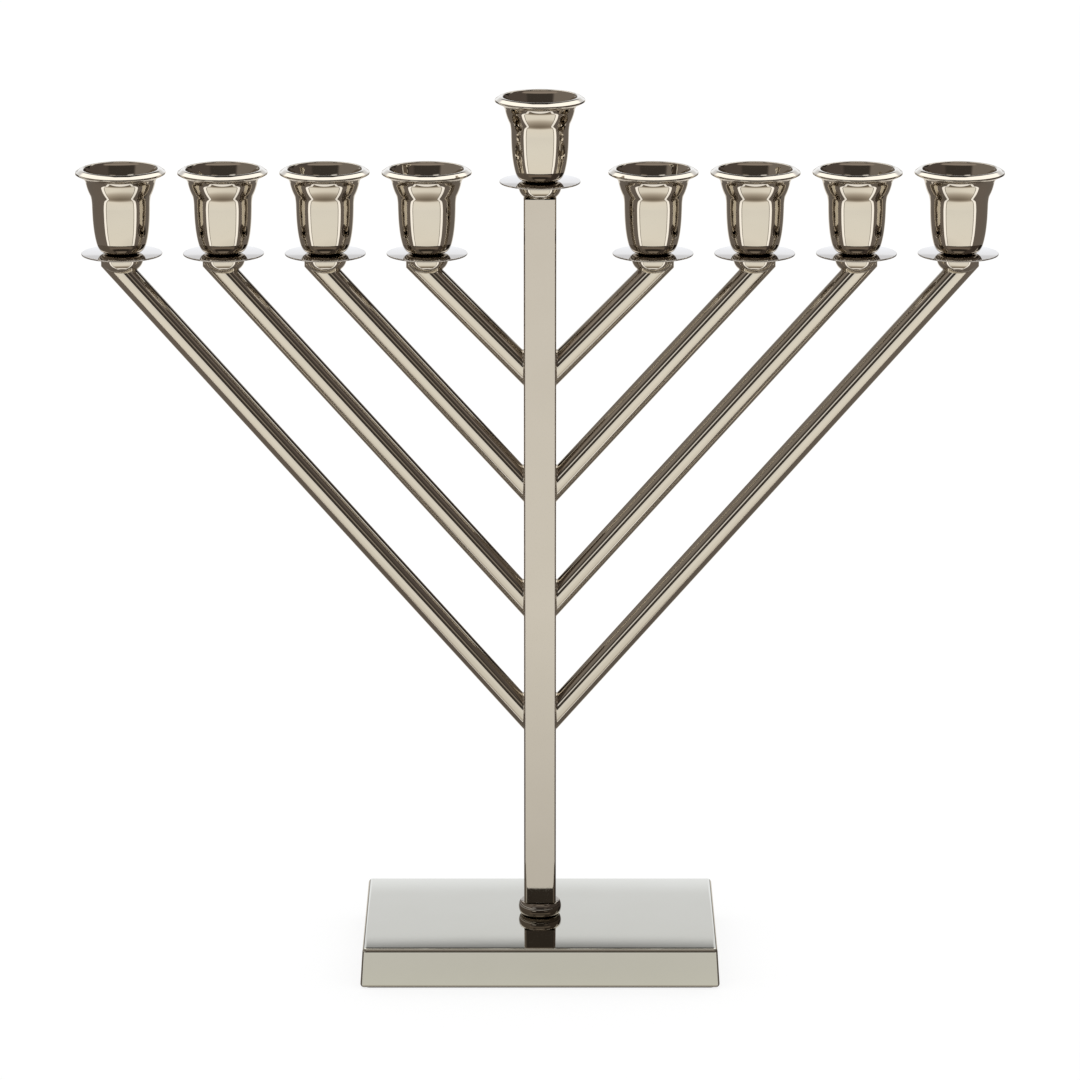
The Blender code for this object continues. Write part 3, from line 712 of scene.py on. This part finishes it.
for index, place in enumerate(PLACES):
    if place == "centre":
        holder_screw = screw
    else:
        holder_screw = copied(screw, f"screw_{place}", seat(place) - centre_seat)
        bpy.ops.object.mode_set(mode="EDIT")
        bpy.ops.mesh.select_all(action="SELECT")
        bpy.ops.transform.rotate(value=math.radians(SLOT_TURN * index), orient_axis="Z",
                                 center_override=seat(place))
        bpy.ops.object.mode_set(mode="OBJECT")
    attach(holder_screw, f"holder_{place}")
    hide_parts(f"cup_screw_{place}")

# ---------------------------------------------------------------- arms
# Each arm is a straight round steel tube. Its foot is cut to the column's side and brazed with a
# small fillet, and its upper end is coped round the bowl and dressed flush with the bowl's rim.

ARM_RADIUS = 5.5 * MM
ARM_ROOT_TOP = 274.7 * MM
ARM_ROOT_PITCH = 53.3 * MM
ARM_CROSSING_DROP = 7.7 * MM
BRAZE_WIDTH = 1.2 * MM
ROOT_SINK = 0.12 * MM
ARM_SIDES = 64
FLANGE_SPREAD = 1.5  # the flange's width, in tube widths
ON_FLANK = 0.00001  # metres from the column's side, within which a point lies on it
SIDEWAYS = 0.999  # how far along x the normal of a face on the column's side points
TRIM_SIDES = 192
TRIM_GAP = 0.02 * MM  # keeps the trimmed end just inside the bowl's outline
TOP_BELOW_LIP = 0.3 * MM
OFF_MIDDLE = 0.0001  # metres from the bowl's middle line, beyond which a point is moved

arm_nickel = nickel_plate(
    "arm_nickel_plate", "#CFC7BA", "#C8C0B2", 0.035, 0.002 * MM, UPRIGHT_GRAIN, "drawn")
flank = column_high.x - ROOT_SINK
for side, side_name in ((-1, "left"), (1, "right")):
    for number in (1, 2, 3, 4):
        place = f"{side_name}_{number}"
        bowl_low, bowl_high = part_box(f"bowl_{place}")
        bowl_x = middle(f"bowl_{place}")[0]
        bowl_radius = (bowl_high.x - bowl_low.x) / 2
        seat_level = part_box(f"drip_pan_{place}")[0].z
        root = Vector((side * column_high.x, 0.0, ARM_ROOT_TOP - (number - 1) * ARM_ROOT_PITCH))
        crossing = Vector((bowl_x, 0.0, seat_level - ARM_CROSSING_DROP))
        along = (crossing - root).normalized()
        foot = root - along * 3 * ARM_RADIUS
        head = crossing + along * 2 * ARM_RADIUS
        begin()
        bpy.ops.mesh.primitive_cylinder_add(
            vertices=ARM_SIDES, radius=ARM_RADIUS, depth=(head - foot).length, end_fill_type="NOTHING",
            location=(head + foot) / 2, rotation=along.to_track_quat("Z", "Y").to_euler())
        arm = bpy.context.object
        bpy.ops.object.transform_apply(location=True, rotation=True, scale=True)
        bpy.ops.object.mode_set(mode="EDIT")
        bpy.ops.mesh.select_all(action="SELECT")
        bpy.ops.mesh.bisect(plane_co=(side * flank, 0.0, 0.0), plane_no=(side, 0.0, 0.0),
                            clear_inner=True, clear_outer=False)
        # The fillet is rolled from a flange: the tube's cut end, drawn out on the column's side.
        pick(arm, lambda v: abs(v.co.x - side * flank) < ON_FLANK)
        bpy.ops.mesh.extrude_region_move(TRANSFORM_OT_translate={"value": (0.0, 0.0, 0.0)})
        bpy.ops.transform.resize(value=(1.0, FLANGE_SPREAD, FLANGE_SPREAD), center_override=root)
        bpy.ops.object.mode_set(mode="OBJECT")
        data = arm.data
        at_flank = {v.index for v in data.vertices if abs(v.co.x - side * flank) < ON_FLANK}
        tube_rows = {i for e in data.edges for i in e.vertices
                     if len(at_flank & set(e.vertices)) == 1} & at_flank
        pick(arm, lambda e: set(e.vertices) <= tube_rows, "edges")
        bpy.ops.mesh.bevel(offset_type="WIDTH", offset=BRAZE_WIDTH, segments=8, profile=0.5,
                           affect="EDGES")
        pick(arm, lambda f: (abs(f.normal.x) > SIDEWAYS
                             and abs(f.center.x - side * flank) < ON_FLANK), "faces")
        bpy.ops.mesh.delete(type="FACE")
        bpy.ops.mesh.select_all(action="SELECT")
        bpy.ops.mesh.fill_holes(sides=0)
        bpy.ops.mesh.select_all(action="SELECT")
        bpy.ops.mesh.normals_make_consistent(inside=False)
        bpy.ops.object.mode_set(mode="OBJECT")
        # The room the arm may fill: everything from the column out to the bowl's round side.
        begin()
        bpy.ops.mesh.primitive_cylinder_add(
            vertices=TRIM_SIDES, radius=bowl_radius - TRIM_GAP, depth=seat_level,
            location=(bowl_x, 0.0, seat_level / 2 - BOWL_LIP - TOP_BELOW_LIP))
        room_tool = bpy.context.object
        bpy.ops.object.transform_apply(location=True, rotation=True, scale=True)
        pick(room_tool, lambda v: side * (v.co.x - bowl_x) < -OFF_MIDDLE)
        bpy.ops.transform.resize(value=(0.0, 1.0, 1.0), center_override=(0.0, 0.0, 0.0))
        bpy.ops.object.mode_set(mode="OBJECT")
        begin()
        arm.select_set(True)
        bpy.context.view_layer.objects.active = arm
        trim = arm.modifiers.new("trim", "BOOLEAN")
        trim.operation = "INTERSECT"
        trim.solver = "EXACT"
        trim.object = room_tool
        apply_modifiers(arm)
        bpy.data.objects.remove(room_tool)
        settle(arm, f"arm_{place}_tube", 40.0)
        across = along.cross(Vector((0.0, 1.0, 0.0)))
        drawn_marks = arm.data.attributes.new("drawn", "FLOAT_VECTOR", "POINT")
        for vertex, mark in zip(arm.data.vertices, drawn_marks.data):
            from_root = vertex.co - root
            mark.vector = (from_root.dot(across), from_root.y, from_root.dot(along))
        arm.data.materials.append(arm_nickel)
        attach(arm, "stand")
        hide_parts(f"arm_{place}")

# ---------------------------------------------------------------- base fixing
# Zinc-plated stud, washer and nut pull the column's foot down onto the base through the bead. The
# stud screws into a square plug of the same steel, soldered into the tube. All stay as packed.


def refinish(node, finish):
    """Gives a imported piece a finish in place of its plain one."""
    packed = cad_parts[node]
    packed.data.materials.clear()
    packed.data.materials.append(finish)


for node in ("base_stud", "stud_washer", "stud_nut", "foot_plug"):
    refinish(node, zinc)

# ---------------------------------------------------------------- ballast
# A plate of hot-rolled steel, sawn to size, fills the shell and keeps the wide menorah steady.


def rolled_steel(name):
    """Hot-rolled steel: blue-grey mill scale with rust-brown patches and a coarse, dull grain."""
    material, tree, shader, place = new_material(name)
    shader.inputs["Metallic"].default_value = 1.0
    spots = {"Vector": place, "Scale": 70.0, "Detail": 8.0}
    rust = add_node(tree, "ShaderNodeTexNoise", spots).outputs[0]
    patch = add_node(tree, "ShaderNodeMapRange", {
        "Value": rust, "From Min": 0.5, "From Max": 0.68})
    tone = add_node(tree, "ShaderNodeMix", {
        0: patch.outputs[0], 6: (*linear("#4A4C50"), 1.0), 7: (*linear("#6B4632"), 1.0)
    }, data_type="RGBA")
    tree.links.new(tone.outputs[2], shader.inputs["Base Color"])
    dull = add_node(tree, "ShaderNodeMapRange", {"Value": rust, "To Min": 0.4, "To Max": 0.8})
    tree.links.new(dull.outputs[0], shader.inputs["Roughness"])
    scale = add_node(tree, "ShaderNodeBump", {"Height": rust, "Distance": 0.05 * MM, "Strength": 0.7})
    tree.links.new(scale.outputs[0], shader.inputs["Normal"])
    return material


refinish("ballast_plate", rolled_steel("hot_rolled_steel"))

# ---------------------------------------------------------------- closing board
# A plate of hardboard closes the shell below the nut and carries the felt.


def hardboard(name):
    """Hardboard: brown pressed wood fibre, its short fibres lying every way in the sheet."""
    material, tree, shader, place = new_material(name)
    shader.inputs["Roughness"].default_value = 0.8
    fibres = add_node(tree, "ShaderNodeTexNoise", {
        "Vector": place, "Scale": 700.0, "Detail": 6.0, "Distortion": 2.5}).outputs[0]
    tone = add_node(tree, "ShaderNodeMix", {
        0: fibres, 6: (*linear("#4E3320"), 1.0), 7: (*linear("#8A6542"), 1.0)}, data_type="RGBA")
    tree.links.new(tone.outputs[2], shader.inputs["Base Color"])
    nap = add_node(tree, "ShaderNodeBump", {"Height": fibres, "Distance": 0.04 * MM, "Strength": 0.6})
    tree.links.new(nap.outputs[0], shader.inputs["Normal"])
    return material


refinish("closing_board", hardboard("hardboard"))

# ---------------------------------------------------------------- felt pad
# Black wool felt, cut to the shell's opening and glued under the board. It stands a little below
# the shell's rim, so that the menorah rests on the felt and doesn't scratch the table.

FELT_CORNER = 2.0 * MM
FELT_EDGE_ROUND = 0.35 * MM


def wool_felt(name):
    """Wool felt: matt charcoal, matted fibres of darker and lighter wool, and a soft sheen."""
    material, tree, shader, place = new_material(name)
    shader.inputs["Roughness"].default_value = 0.95
    shader.inputs["Sheen Weight"].default_value = 0.35
    wool = add_node(tree, "ShaderNodeTexNoise", {
        "Vector": place, "Scale": 1200.0, "Detail": 6.0, "Distortion": 3.0}).outputs[0]
    tone = add_node(tree, "ShaderNodeMix", {
        0: wool, 6: (*linear("#17171A"), 1.0), 7: (*linear("#3C3B3E"), 1.0)}, data_type="RGBA")
    tree.links.new(tone.outputs[2], shader.inputs["Base Color"])
    fuzz = add_node(tree, "ShaderNodeBump", {"Height": wool, "Distance": 0.15 * MM, "Strength": 0.8})
    tree.links.new(fuzz.outputs[0], shader.inputs["Normal"])
    return material


felt_low, felt_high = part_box("felt_pad")
felt_size = felt_high - felt_low
felt_middle = (felt_low + felt_high) / 2
felt_middle.z = felt_low.z
rounding = arc((-FELT_EDGE_ROUND, FELT_EDGE_ROUND), (FELT_EDGE_ROUND, FELT_EDGE_ROUND), -90, 0, 4)
felt_side = rounding + [(spread, felt_size.z - level) for spread, level in reversed(rounding)]
begin()
bpy.ops.mesh.primitive_plane_add(size=1.0, location=felt_middle)
felt = bpy.context.object
bpy.ops.transform.resize(
    value=(felt_size.x - 2 * FELT_EDGE_ROUND, felt_size.y - 2 * FELT_EDGE_ROUND, 1.0),
    center_override=felt_middle)
bpy.ops.object.transform_apply(location=True, rotation=True, scale=True)
bpy.ops.object.mode_set(mode="EDIT")
bpy.ops.mesh.select_mode(type="VERT")
bpy.ops.mesh.select_all(action="SELECT")
bpy.ops.mesh.bevel(offset=FELT_CORNER, segments=8, profile=0.5, affect="VERTICES")
bpy.ops.mesh.select_all(action="SELECT")
bpy.ops.mesh.delete(type="ONLY_FACE")
bpy.ops.mesh.select_all(action="SELECT")
spread, level = felt_side[0]
for next_spread, next_level in felt_side[1:]:
    bpy.ops.mesh.extrude_region_move(TRANSFORM_OT_translate={"value": (0.0, 0.0, next_level - level)})
    wider = (felt_size.x / 2 + next_spread) / (felt_size.x / 2 + spread)
    deeper = (felt_size.y / 2 + next_spread) / (felt_size.y / 2 + spread)
    bpy.ops.transform.resize(value=(wider, deeper, 1.0), center_override=felt_middle)
    spread, level = next_spread, next_level
bpy.ops.mesh.select_all(action="SELECT")
bpy.ops.mesh.fill_holes(sides=0)
bpy.ops.mesh.select_all(action="SELECT")
bpy.ops.mesh.normals_make_consistent(inside=False)
bpy.ops.object.mode_set(mode="OBJECT")
settle(felt, "felt")
felt.data.materials.append(wool_felt("wool_felt"))
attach(felt, "stand")
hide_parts("felt_pad")
